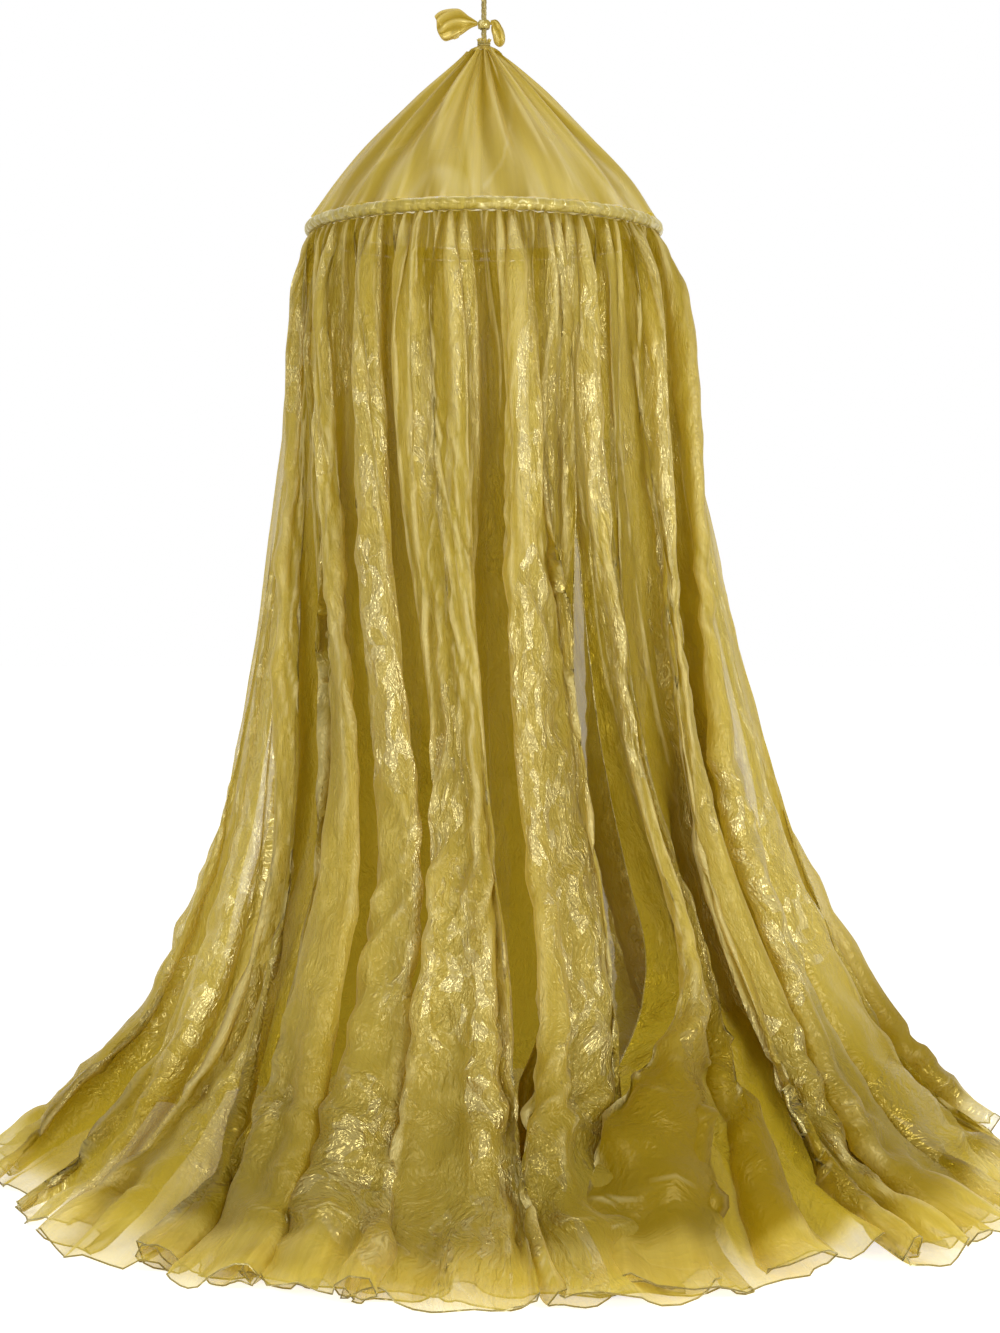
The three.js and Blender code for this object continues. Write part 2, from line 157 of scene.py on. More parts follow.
def foldEdges(grid, normal, closed=False, low=25.0, high=130.0):
    # 1 on the outer edges of sharp folds, 0 on flat cloth and in valleys; low and high are curvatures, in 1/m
    edge = np.zeros(grid.shape[:2])
    for axis in (0, 1):
        ahead, behind = np.roll(grid, -1, axis), np.roll(grid, 1, axis)
        step = np.maximum(np.linalg.norm(ahead - behind, axis=2) / 2, 0.002)
        turn = -np.sum((ahead + behind - 2 * grid) * normal, axis=2) / step ** 2
        if axis or not closed:
            turn[(slice(None),) * axis + ([0, -1],)] = 0
        edge = np.maximum(edge, smoothStep(low, high, turn))
    return edge


def makeMesh(name, grid, cloth=None, closed=False, layers=None, edges=None):
    # a smooth quad mesh from a grid of points; layers says how many times over the cloth lies at each, raised
    # further where shade is painted, and edges marks where a pale highlight is painted, mostly on the outer
    # edges of its folds
    around, down = grid.shape[:2]
    index = np.arange(around * down).reshape(around, down)
    ahead = np.roll(index, -1, 0) if closed else index[1:]
    here = index if closed else index[:-1]
    quads = np.stack([here[:, :-1], ahead[:, :-1], ahead[:, 1:], here[:, 1:]], -1).reshape(-1, 4)
    mesh = bpy.data.meshes.new(name)
    mesh.from_pydata(grid.reshape(-1, 3).tolist(), [], quads.tolist())
    if cloth is not None:
        layer = mesh.uv_layers.new(name="cloth")
        corners = np.empty(len(mesh.loops), int)
        mesh.loops.foreach_get("vertex_index", corners)
        layer.data.foreach_set("uv", cloth.reshape(-1, 2)[corners].astype(np.float32).ravel())
    for label, values in (("layers", layers), ("edgeHighlight", edges)):
        if values is not None:
            values = np.ascontiguousarray(values, np.float32)
            mesh.attributes.new(label, "FLOAT", "POINT").data.foreach_set("value", values.ravel())
    mesh.shade_smooth()
    mesh.update()
    piece = bpy.data.objects.new(name, mesh)
    scene.collection.objects.link(piece)
    return piece


def tubeGrid(path, radius, sides, twist=None):
    # rings round a path; radius may change along it, and twist gives (strands, depth, turns)
    path = np.asarray(path, float)
    tangent = np.gradient(path, axis=0)
    tangent /= np.maximum(np.linalg.norm(tangent, axis=1, keepdims=True), 1e-12)
    guide = np.array([0.0, 1.0, 0.0]) if abs(tangent[0][1]) < 0.9 else np.array([1.0, 0.0, 0.0])
    side = np.empty_like(path)
    for i, along in enumerate(tangent):  # the frame is carried along the path, so it never flips
        guide = guide - along * np.dot(guide, along)
        guide /= np.linalg.norm(guide)
        side[i] = guide
    other = np.cross(tangent, side)
    angle = np.arange(sides) * fullTurn / sides
    size = np.broadcast_to(np.asarray(radius, float), (len(path),))[:, None]
    if twist:
        strands, depth, turns = twist
        along = np.linspace(0, turns * fullTurn, len(path))[:, None]
        size = size * (1 - depth * (1 - np.abs(np.cos(strands * (angle[None] + along) / 2))))
    ring = (side[:, None] * (np.cos(angle)[None] * size)[..., None]
            + other[:, None] * (np.sin(angle)[None] * size)[..., None])
    return np.swapaxes(path[:, None] + ring, 0, 1)


# node helpers and materials
def feed(tree, value, socket):
    # another node's output is linked, and anything else is set as a plain value
    if isinstance(value, bpy.types.NodeSocket):
        tree.links.new(value, socket)
    else:
        socket.default_value = (*value, 1) if socket.type == "RGBA" else value


def fill(tree, target, values):
    for key, value in values.items():
        feed(tree, value, target.inputs[key])


def node(tree, kind, *sources, **values):
    # sources go to the inputs in their order, and a named value to the input or the setting of that name
    made = tree.nodes.new("ShaderNode" + kind)
    for key, value in values.items():
        if key in made.inputs:
            feed(tree, value, made.inputs[key])
        else:
            setattr(made, key, value)
    for value, socket in zip(sources, made.inputs):
        feed(tree, value, socket)
    return made


def doMath(tree, operation, a, b=0.0, c=0.0):
    return node(tree, "Math", a, b, c, operation=operation).outputs[0]


def vectorMath(tree, operation, a, b, c=(0.0, 0.0, 0.0)):
    made = node(tree, "VectorMath", a, b, c, operation=operation)
    return made.outputs["Value" if operation == "DOT_PRODUCT" else "Vector"]


def smoothRange(tree, value, low, high, start=0.0, end=1.0):
    return node(tree, "MapRange", value, low, high, start, end, interpolation_type="SMOOTHSTEP").outputs[0]


def mixColour(tree, share, first, second):
    made = node(tree, "Mix", data_type="RGBA")
    for place, value in ((0, share), (6, first), (7, second)):  # the places of its colour sockets
        feed(tree, value, made.inputs[place])
    return made.outputs[2]


def ramp(tree, source, stops):
    made = node(tree, "ValToRGB", source)
    elements = made.color_ramp.elements
    while len(elements) < len(stops):
        elements.new(0.5)
    for element, (place, colour) in zip(elements, stops):
        element.position = place
        element.color = (*colour, 1)
    return made.outputs[0]


def makeGroup(name, inputs, outputs):
    # inputs hold their default values, and None stands for coordinates
    group = bpy.data.node_groups.new(name, "ShaderNodeTree")
    for label, value in inputs.items():
        kind = "NodeSocketVector" if value is None else "NodeSocketFloat"
        socket = group.interface.new_socket(label, in_out="INPUT", socket_type=kind)
        if value is not None:
            socket.default_value = value
    for label in outputs:
        group.interface.new_socket(label, in_out="OUTPUT", socket_type="NodeSocketFloat")
    return group, group.nodes.new("NodeGroupInput").outputs, group.nodes.new("NodeGroupOutput")


def placeGroup(tree, group, **values):
    made = tree.nodes.new("ShaderNodeGroup")
    made.node_tree = group
    fill(tree, made, values)
    return made.outputs


def threadStreaks():
    # fine lines that run down the cloth with its threads, and broader lazy ones between them
    inputs = {"Cloth": None, "Across": 300.0, "Along": 6.0}
    group, given, out = makeGroup("threadStreaks", inputs, ("Fine", "Broad"))
    stretch = node(group, "CombineXYZ", given["Across"], given["Along"]).outputs[0]
    narrow = vectorMath(group, "MULTIPLY", given["Cloth"], stretch)
    wide = vectorMath(group, "MULTIPLY", narrow, (0.16, 0.16, 0.16))
    fine = node(group, "TexNoise", narrow, Scale=1.0, Detail=3.0, Roughness=0.6)
    broad = node(group, "TexNoise", wide, Scale=1.0, Detail=2.0, Roughness=0.5)
    fill(group, out, {"Fine": fine.outputs["Fac"], "Broad": broad.outputs["Fac"]})
    return group


def ownTilt(group, cells, place):
    # rises across each cell in a direction of the cell's own
    way = vectorMath(group, "SUBTRACT", cells.outputs["Color"], (0.5, 0.5, 0.5))
    inside = vectorMath(group, "SUBTRACT", place, cells.outputs["Position"])
    return vectorMath(group, "DOT_PRODUCT", way, inside)


def clothCrinkle():
    # crushed cloth: tall facets, each tilted its own way, and the patches in which they gather
    inputs = {"Cloth": None, "Size": 28.0, "Patches": 6.0}
    group, given, out = makeGroup("clothCrinkle", inputs, ("Height", "Patch", "Facet", "Ridge"))
    warp = node(group, "TexNoise", given["Cloth"], Scale=9.0, Detail=2.0, noise_dimensions="2D")
    bent = vectorMath(group, "MULTIPLY_ADD", warp.outputs["Color"], (0.045, 0.045, 0.045), given["Cloth"])
    tall = vectorMath(group, "MULTIPLY", bent, (1.0, 0.4, 1.0))

    def noise(finer, detail):
        scale = doMath(group, "MULTIPLY", given["Size"], finer)
        return node(group, "TexNoise", tall, Scale=scale, Detail=detail, noise_dimensions="2D").outputs["Fac"]

    def fromMiddle(value):
        return doMath(group, "ABSOLUTE", doMath(group, "SUBTRACT", value, 0.5))

    def cellPattern(scale):
        # the cells, a tilt of each one's own, and a random number for each
        cells = node(group, "TexVoronoi", tall, Scale=scale, voronoi_dimensions="2D")
        tilt = doMath(group, "MULTIPLY", ownTilt(group, cells, tall), scale)
        return tilt, node(group, "SeparateXYZ", cells.outputs["Color"]).outputs[2]

    facets, chance = cellPattern(given["Size"])
    small = noise(1.7, 2.0)
    crease = fromMiddle(noise(0.34, 1.0))  # thin creases that wander across the cloth
    height = doMath(group, "MULTIPLY_ADD", fromMiddle(small), 1.6, facets)
    # patches with sharp corners: whole cells of a coarser pattern, each fading out to one side
    fade, patchChance = cellPattern(given["Patches"])
    crushed = doMath(group, "MULTIPLY_ADD", fade, 1.3, patchChance)
    crushed = doMath(group, "MULTIPLY_ADD", small, 0.3, crushed)
    fill(group, out, {
        "Height": doMath(group, "MULTIPLY_ADD", crease, -3.0, height),
        "Patch": smoothRange(group, crushed, 0.69, 0.86),
        "Facet": smoothRange(group, chance, 0.50, 0.85),
        "Ridge": smoothRange(group, crease, 0.0, 0.022, 1.0, 0.0),
    })
    return group


streakGroup = threadStreaks()
crinkleGroup = clothCrinkle()

organzaSettings = {
    "deep": (0.53, 0.415, 0.050),
    "mid": (0.63, 0.505, 0.085),
    "lit": (0.74, 0.62, 0.15),
    "pale": (0.97, 0.86, 0.40),  # painted highlight on crushed facets, their creases, and cloth turned edge-on
    "stackedAndShaded": (0.235, 0.166, 0.003),  # several layers of cloth, one over another, and painted shade in recesses and under the casing
    "glow": (0.80, 0.61, 0.045),  # the colour of light that comes through the cloth
    "glowShare": 0.42,
    "cover": 0.50,  # how much of the light one layer stops, seen straight on
    "roughness": 0.37,
    "metallic": 0.12,
    "glint": 0.50,  # how much more the crushed facets shine
    "rim": 0.75,  # painted highlight: how much lighter the cloth is painted where it turns edge-on
    "edgeLight": 0.50,  # painted highlight on the outer edges of its folds
    "patchHighlight": 0.12,  # painted highlight: how much lighter the crushed patches are painted
    "facetLight": 0.85,  # painted highlight on single facets in them
    "ridgeLight": 0.35,  # painted highlight on the creases that cross them
    "ridgeHighlight": 0.12,  # painted highlight on the same creases on smooth cloth
    "sheen": 0.35,
    "sheenTint": (1.0, 0.9, 0.5),
    "bump": 0.75,
    "bumpDepth": 0.0060,
    "crinkleSize": 84.0,
    "patches": 7.0,
    "across": 260.0,
    "along": 9.0,
    "sheer": True,
}
# what the other cloths have instead
clothChanges = {
    "organza": {},
    "coneOrganza": {
        "cover": 0.56, "bump": 0.3, "crinkleSize": 9.0, "patchHighlight": 0.0, "facetLight": 0.15,
        "across": 44.0, "along": 1.6, "deep": (0.36, 0.27, 0.02), "lit": (0.78, 0.68, 0.24),
    },
    "hemOrganza": {
        "sheer": False, "facetLight": 0.1, "patchHighlight": 0.05,
        "deep": (0.20, 0.14, 0.01), "mid": (0.27, 0.19, 0.015), "lit": (0.36, 0.27, 0.03),
    },
    "bandCloth": {
        "sheer": False, "facetLight": 0.08, "patchHighlight": 0.05, "edgeLight": 0.8, "bump": 0.3,
        "crinkleSize": 60.0, "across": 500.0,
        "deep": (0.23, 0.16, 0.012), "mid": (0.33, 0.245, 0.025), "lit": (0.47, 0.37, 0.06),
    },
    "ropeCloth": {
        "sheer": False, "facetLight": 0.1, "patchHighlight": 0.0, "glint": 0.0, "metallic": 0.0,
        "crinkleSize": 160.0, "across": 900.0,
        "deep": (0.20, 0.14, 0.02), "mid": (0.29, 0.21, 0.035), "lit": (0.38, 0.30, 0.07),
    },
}


def newMaterial(name):
    material = bpy.data.materials.new(name)
    material.use_nodes = True
    return material, material.node_tree, material.node_tree.nodes["Principled BSDF"]


def makeOrganza(name, settings):
    material, tree, shader = newMaterial(name)

    def times(a, b):
        return doMath(tree, "MULTIPLY", a, b)

    def timesPlus(a, b, c):
        return doMath(tree, "MULTIPLY_ADD", a, b, c)

    cloth = node(tree, "UVMap", uv_map="cloth").outputs[0]
    streaks = placeGroup(tree, streakGroup, Cloth=cloth, Across=settings["across"], Along=settings["along"])
    crinkle = placeGroup(tree, crinkleGroup, Cloth=cloth, Size=settings["crinkleSize"],
                         Patches=settings["patches"])
    tone = timesPlus(streaks["Fine"], 0.45, times(streaks["Broad"], 0.55))
    colour = ramp(tree, tone, [(0.30, settings["deep"]), (0.52, settings["mid"]), (0.76, settings["lit"])])
    # painted highlight: crushed patches, single facets in them and crossing creases are painted lighter; the
    # same mask also raises the metallic shine
    crushed = timesPlus(crinkle["Facet"], settings["facetLight"], settings["patchHighlight"])
    crushed = timesPlus(crinkle["Ridge"], settings["ridgeLight"], crushed)
    crushed = times(crushed, crinkle["Patch"])
    glint = timesPlus(crushed, settings["glint"], settings["metallic"])
    glint.node.use_clamp = True
    highlightShare = timesPlus(crinkle["Ridge"], settings["ridgeHighlight"], crushed)
    colour = mixColour(tree, highlightShare, colour, settings["pale"])
    # light that has come through several layers is darker and deeper in colour, and the same mix paints shade
    # where the layer count is raised in fold recesses, pleat valleys and under the casing; the shine dims
    # with it
    layers = node(tree, "Attribute", attribute_name="layers").outputs["Fac"]
    depth = smoothRange(tree, layers, 1.0, 4.2)
    colour = mixColour(tree, depth, colour, settings["stackedAndShaded"])
    shine = timesPlus(depth, -0.65, 1.0)
    # painted highlight: the base colour turns pale where the cloth turns edge-on and on the edges of its
    # folds, for threads catching the light
    facing = node(tree, "LayerWeight", Blend=0.5).outputs["Facing"]
    grazing = times(doMath(tree, "POWER", facing, 4.0), shine)
    edge = node(tree, "Attribute", attribute_name="edgeHighlight").outputs["Fac"]
    rimAndEdgeHighlight = doMath(tree, "MAXIMUM", times(edge, settings["edgeLight"]), times(grazing, settings["rim"]))
    colour = mixColour(tree, rimAndEdgeHighlight, colour, settings["pale"])
    height = times(crinkle["Height"], timesPlus(crinkle["Patch"], 0.48, 0.52))
    height = timesPlus(streaks["Broad"], 0.25, height)
    bump = node(tree, "Bump", Strength=settings["bump"], Distance=settings["bumpDepth"], Height=height)
    normal = bump.outputs[0]
    fill(tree, shader, {
        "Base Color": colour,
        "Metallic": glint,
        "Roughness": timesPlus(crinkle["Patch"], -0.11, settings["roughness"]),
        "Specular IOR Level": times(shine, 0.5),
        "Sheen Weight": times(shine, settings["sheen"]),
        "Sheen Roughness": 0.3,
        "Sheen Tint": settings["sheenTint"],
        "Normal": normal,
    })
    if settings["sheer"]:
        through = node(tree, "BsdfTranslucent", Color=settings["glow"], Normal=normal)
        lit = node(tree, "MixShader", settings["glowShare"], shader.outputs[0], through.outputs[0])
        # threads close up as the cloth turns edge-on, so that one layer lets less light through
        clear = doMath(tree, "SUBTRACT", 1.0, facing)
        turned = doMath(tree, "POWER", doMath(tree, "MAXIMUM", clear, 0.04), 0.5)
        thin = timesPlus(streaks["Fine"], -0.22, 1.0 - settings["cover"] + 0.11)
        passed = doMath(tree, "POWER", thin, doMath(tree, "DIVIDE", layers, turned))
        cover = doMath(tree, "SUBTRACT", 1.0, passed)
        clearCloth = node(tree, "BsdfTransparent")
        surface = node(tree, "MixShader", cover, clearCloth.outputs[0], lit.outputs[0])
        tree.links.new(surface.outputs[0], tree.nodes["Material Output"].inputs["Surface"])
    return material


cloths = {name: makeOrganza(name, {**organzaSettings, **changes}) for name, changes in clothChanges.items()}


def grainColour(tree, scale, detail, stops):
    place = node(tree, "TexCoord").outputs["Object"]
    grain = node(tree, "TexNoise", place, Scale=scale, Detail=detail).outputs["Fac"]
    return grain, ramp(tree, grain, stops)


def makePlastic(name, light, dark, roughness, scale):
    material, tree, shader = newMaterial(name)
    grain, colour = grainColour(tree, scale, 4.0, [(0.35, dark), (0.65, light)])
    bump = node(tree, "Bump", Strength=0.2, Distance=0.0004, Height=grain)
    fill(tree, shader, {"Base Color": colour, "Roughness": roughness, "Normal": bump.outputs[0]})
    return material


ferrulePlastic = makePlastic("ferrulePlastic", (0.78, 0.76, 0.7), (0.7, 0.68, 0.61), 0.45, 300.0)
rodGlass = makePlastic("rodGlass", (0.70, 0.66, 0.55), (0.6, 0.56, 0.44), 0.4, 500.0)
for i in range(1, 5):
    for name, material in ((f"hoop_connector_{i}", ferrulePlastic), (f"hoop_segment_{i}", rodGlass)):
        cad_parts[name].data.materials.clear()
        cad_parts[name].data.materials.append(material)


def finishPiece(piece, cloth, body, slot, *nodes):
    piece.data.materials.append(cloths[cloth])
    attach(piece, body)
    if nodes:
        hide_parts(*nodes)


# hanging cord, its eye and its knots
cord = {
    "foot": -0.1770, "top": -0.0763, "diameter": 0.0094, "strands": 3, "groove": 0.2, "turns": 3.5,
    "exit": (0, 0, -0.156), "rings": 90, "sides": 24, "eyeRings": 110, "eyeTurns": 4.5,
    "eyeHalfWidth": 0.0175, "eyeFoot": -0.0497, "knotRadius": 0.0135, "knotTop": -0.050, "knotFoot": -0.076,
    "stopperTop": -0.1773, "stopperFoot": -0.2013, "stopperRadius": 0.014,
}


def closeTube(name, path, radius, sides, twist=None):
    # a tube with closed ends
    path = np.asarray(path, float)
    size = np.full(len(path), radius)
    size[[0, -1]] *= 0.97
    grid = tubeGrid(path, size, sides, twist)
    ends = [np.repeat(point[None, None], sides, 0) for point in (path[0], path[-1])]
    grid = np.concatenate([ends[0], grid, ends[1]], 1)
    rows = lengthAlong(path) + 1e-3
    rows[0] = 0
    rows = np.concatenate([[0], rows, [rows[-1] + 1e-3]])
    around = np.arange(sides) / sides * fullTurn * np.mean(size)
    return makeMesh(name, grid, clothPlaces(around[:, None], rows), closed=True)


def ropeTube(name, path, turns):
    twist = cord["strands"], cord["groove"], turns
    return closeTube(name, path, cord["diameter"] / 2, cord["sides"], twist)


def ropeKnot(name, radius, top, foot, seed):
    # a knot of the same cord: overlapping turns laid round a ball, each turn tilted its own way
    turn = np.linspace(0, fullTurn, 97)[:-1][:, None]
    polar = np.linspace(0, np.pi, 60)[None]
    wide = np.abs(np.sin(polar)) ** 0.62
    grooves = np.abs(np.sin(3.0 * polar + 1.0 * turn + 0.8 * np.sin(turn * 2 + seed))) ** 0.7
    size = (radius * (0.84 + 0.16 * grooves) + 0.0003 * np.sin(26 * turn + 40 * polar)) * wide
    height = (top + foot) / 2 + (top - foot) / 2 * sharpen(np.cos(polar), 0.8) * (0.94 + 0.06 * grooves)
    grid = np.stack([size * np.cos(turn), size * np.sin(turn), height], -1)
    return makeMesh(name, grid, clothPlaces(turn * radius, polar * radius), closed=True)


def catmullRom(points, count):
    # the same smooth line through the points as the solid's eye follows
    padded = np.vstack([2 * points[0] - points[1], points, 2 * points[-1] - points[-2]])
    places = np.linspace(0, len(points) - 1 - 1e-9, count)
    cell = places.astype(int)
    t = (places - cell)[:, None]
    a, b, c, d = (padded[cell + k] for k in range(4))
    square, cube = 2 * a - 5 * b + 4 * c - d, 3 * b - a - 3 * c + d
    return 0.5 * (2 * b + (c - a) * t + square * t ** 2 + cube * t ** 3)


def eyePath(settings):
    # the cord's eye: two legs that leave the knot side by side, and a round top at the origin
    top = settings["diameter"] / 2
    leg = top + 0.0006
    foot, wide = settings["eyeFoot"], settings["eyeHalfWidth"]
    half = [(leg, foot), (leg, foot + top)]
    for out, up in ((0.55, 0.32), (1, 0.6), (0.79, 0.83), (0.17, 0.97)):
        half.append((leg + (wide - leg) * out, foot + (top - foot) * up))
    points = np.array([(-x, z) for x, z in half] + [(0, top)] + half[::-1])
    return np.insert(catmullRom(points, settings["eyeRings"]), 1, 0, axis=1)


cordPath = [(0, 0, z) for z in np.linspace(cord["foot"], cord["top"], cord["rings"])]
hangingCord = ropeTube("hangingCord", cordPath, cord["turns"])
loopKnot = ropeKnot("loopKnot", cord["knotRadius"], cord["knotTop"], cord["knotFoot"], 0.4)
stopperKnot = ropeKnot("stopperKnot", cord["stopperRadius"], cord["stopperTop"], cord["stopperFoot"], 1.9)
hangingEye = ropeTube("hangingEye", eyePath(cord), cord["eyeTurns"])

hangerPieces = {"hanging_cord": hangingCord, "loop_knot": loopKnot, "stopper_knot": stopperKnot,
                "hanging_loop": hangingEye}
for name, piece in hangerPieces.items():
    finishPiece(piece, "ropeCloth", "hanger", "rope", name)
print("cord, eye and knots are made")

# curtain: two panels, gathered under the casing and heaped on the floor
curtain = {
    "drop": 1.5637,
    "ringRadius": 0.289,
    "reach": 0.538,
    "foldDepth": 0.100,
    "hemLobe": 0.098,
    "slitAngle": 25.4,
    "slitSweep": 8,
    "slitPull": 40,
    "heights": [1, 0.978, 0.93, 0.81, 0.64, 0.49, 0.35, 0.258, 0.176, 0.102, 0.05, 0.016, 0],
    "reaches": [0, 0.006, 0.014, 0.021, 0.062, 0.129, 0.223, 0.322, 0.435, 0.560, 0.70, 0.83, 0.985],
    "folds": [0.02, 0.17, 0.38, 0.56, 0.75, 0.88, 0.95, 1, 1, 0.97, 0.90, 0.66, 0.12],
    "lobes": [0] * 11 + [0.3, 1],
    "creases": [(0.12, 22, 0.0040), (0.085, -28, 0.0036), (0.062, 44, 0.0024), (0.052, -14, 0.0024),
                (0.046, 8, 0.0018)],  # pitch, slope in degrees and depth
    "floorCreases": [(0.085, 30, 0.0034), (0.066, -24, 0.0032), (0.05, 44, 0.0014)],
    "sideways": 0.048,  # the heap on the floor lies this far to the right of the hoop
    "wander": 2.6,  # degrees that the valleys stray on their way down
    "turnAway": 5.0,  # degrees that the folds turn aside on the floor
    "lean": 0.38,
    "swell": 0.26,
    "rufflePitch": 7.5,  # degrees
    "ruffleHeight": 0.032,
    "ruffleReach": 0.012,
    "slack": 1.08,  # of the cloth that the creases take up
    "hemRadius": 0.0013,
    "hemSides": 6,
    "rows": 177,
    "gathers": 74,
    "mostLayers": 3.5,
    "gatherPlaces": [0, 0.008, 0.025, 0.05, 0.09, 0.14, 0.22, 0.4, 2],
    "gatherDepths": [0.0022, 0.0048, 0.0068, 0.0055, 0.0036, 0.0020, 0.0010, 0.0006, 0.0004],
    "splitPitch": 0.098,
    "splitDepth": 0.024,
    "tuckPitch": 0.40,  # of cloth, for the broader tucks that the gathers run into
    "tuckPlaces": [0, 0.03, 0.09, 0.2, 0.45, 0.75, 1.1, 2],
    "tuckDepths": [0.0, 0.004, 0.014, 0.021, 0.019, 0.014, 0.014, 0.018],
}
# a fold's fullness is the cloth that it holds for its width: over 1 its sides lap behind its face
panels = {
    "left": {
        "turn": -1, "sweep": 205.4, "columns": 561, "seed": 11, "width": 5.6, "cut": (5.6, 1.98, 8.4),
        "cornerSweep": -10, "cornerPile": 3, "cornerTuck": 0.0, "cornerHeap": 0.0, "sideLift": 0.6,
        "edge": [0.01, 0.01, 0.01, 0.02, 0.26, 0.51, 0.68, 0.73, 0.73, 0.83, 0.7, 0.3, 0.01],
        "folds": [18.3, 18.5, 11.5, 13.5, 14.5, 16, 17, 18, 19, 20, 20, 19],
        "fullness": [2.25, 2.2, 2.2, 2.2, 1.5, 0.74, 0.68, 0.70, 0.85, 1.3, 1.7, 1.8],
        "nodes": ["curtain_left_front", "curtain_left_side", "curtain_left_back"],
    },
    "right": {
        "turn": 1, "sweep": 154.6, "columns": 441, "seed": 29, "width": 4.4, "cut": (4.4, 1.98, 6.4),
        "cornerSweep": 21, "cornerPile": 7.5, "cornerTuck": 0.03, "cornerHeap": 0.09, "sideLift": 1.0,
        "edge": [0.01, 0.01, 0.01, 0.02, 0.25, 0.36, 0.76, 0.95, 1.03, 0.89, 0.7, 0.3, 0.01],
        "folds": [9.5, 14.5, 12.5, 15, 16, 17, 17, 18, 18, 17],
        "fullness": [2.25, 2.3, 1.6, 0.74, 0.68, 0.68, 0.82, 1.25, 1.9, 2.0],
        "nodes": ["curtain_right_front", "curtain_right_side", "curtain_right_back"],
    },
}


def curtainProfile(settings):
    # the cloth's line from the casing down to the hem: its length, radius, height and which way is out
    radius = settings["ringRadius"] + settings["reach"] * np.array(settings["reaches"])
    height = floorLevel + settings["drop"] * np.array(settings["heights"])
    length = runningSum(np.hypot(np.diff(radius), np.diff(height)))
    # rows lie closer at the gathers and on the floor
    guide = np.linspace(0, 1, 400)
    density = 1 + 0.7 * np.exp(-guide * 14) + 1.1 * smoothStep(0.78, 0.95, guide)
    place = runningSum((density[1:] + density[:-1]) / 2)
    rows = np.interp(np.linspace(0, place[-1], settings["rows"]), place, guide) * length[-1]
    tables = {"radius": radius, "height": height, "fold": settings["folds"], "lobe": settings["lobes"]}
    line = {key: smoothAlong(rows, length, values) for key, values in tables.items()}
    line.update(length=rows, places=length)
    down = np.gradient(line["radius"]), np.gradient(line["height"])
    size = np.hypot(*down)
    line["out"], line["up"] = -down[1] / size, down[0] / size
    return line


def nearHem(shape, start, end=0.0):
    # 0 higher up and 1 lower down, between two lengths of cloth from the hem
    return smoothStep(shape["bottom"] - start, shape["bottom"] - end, shape["rows"])


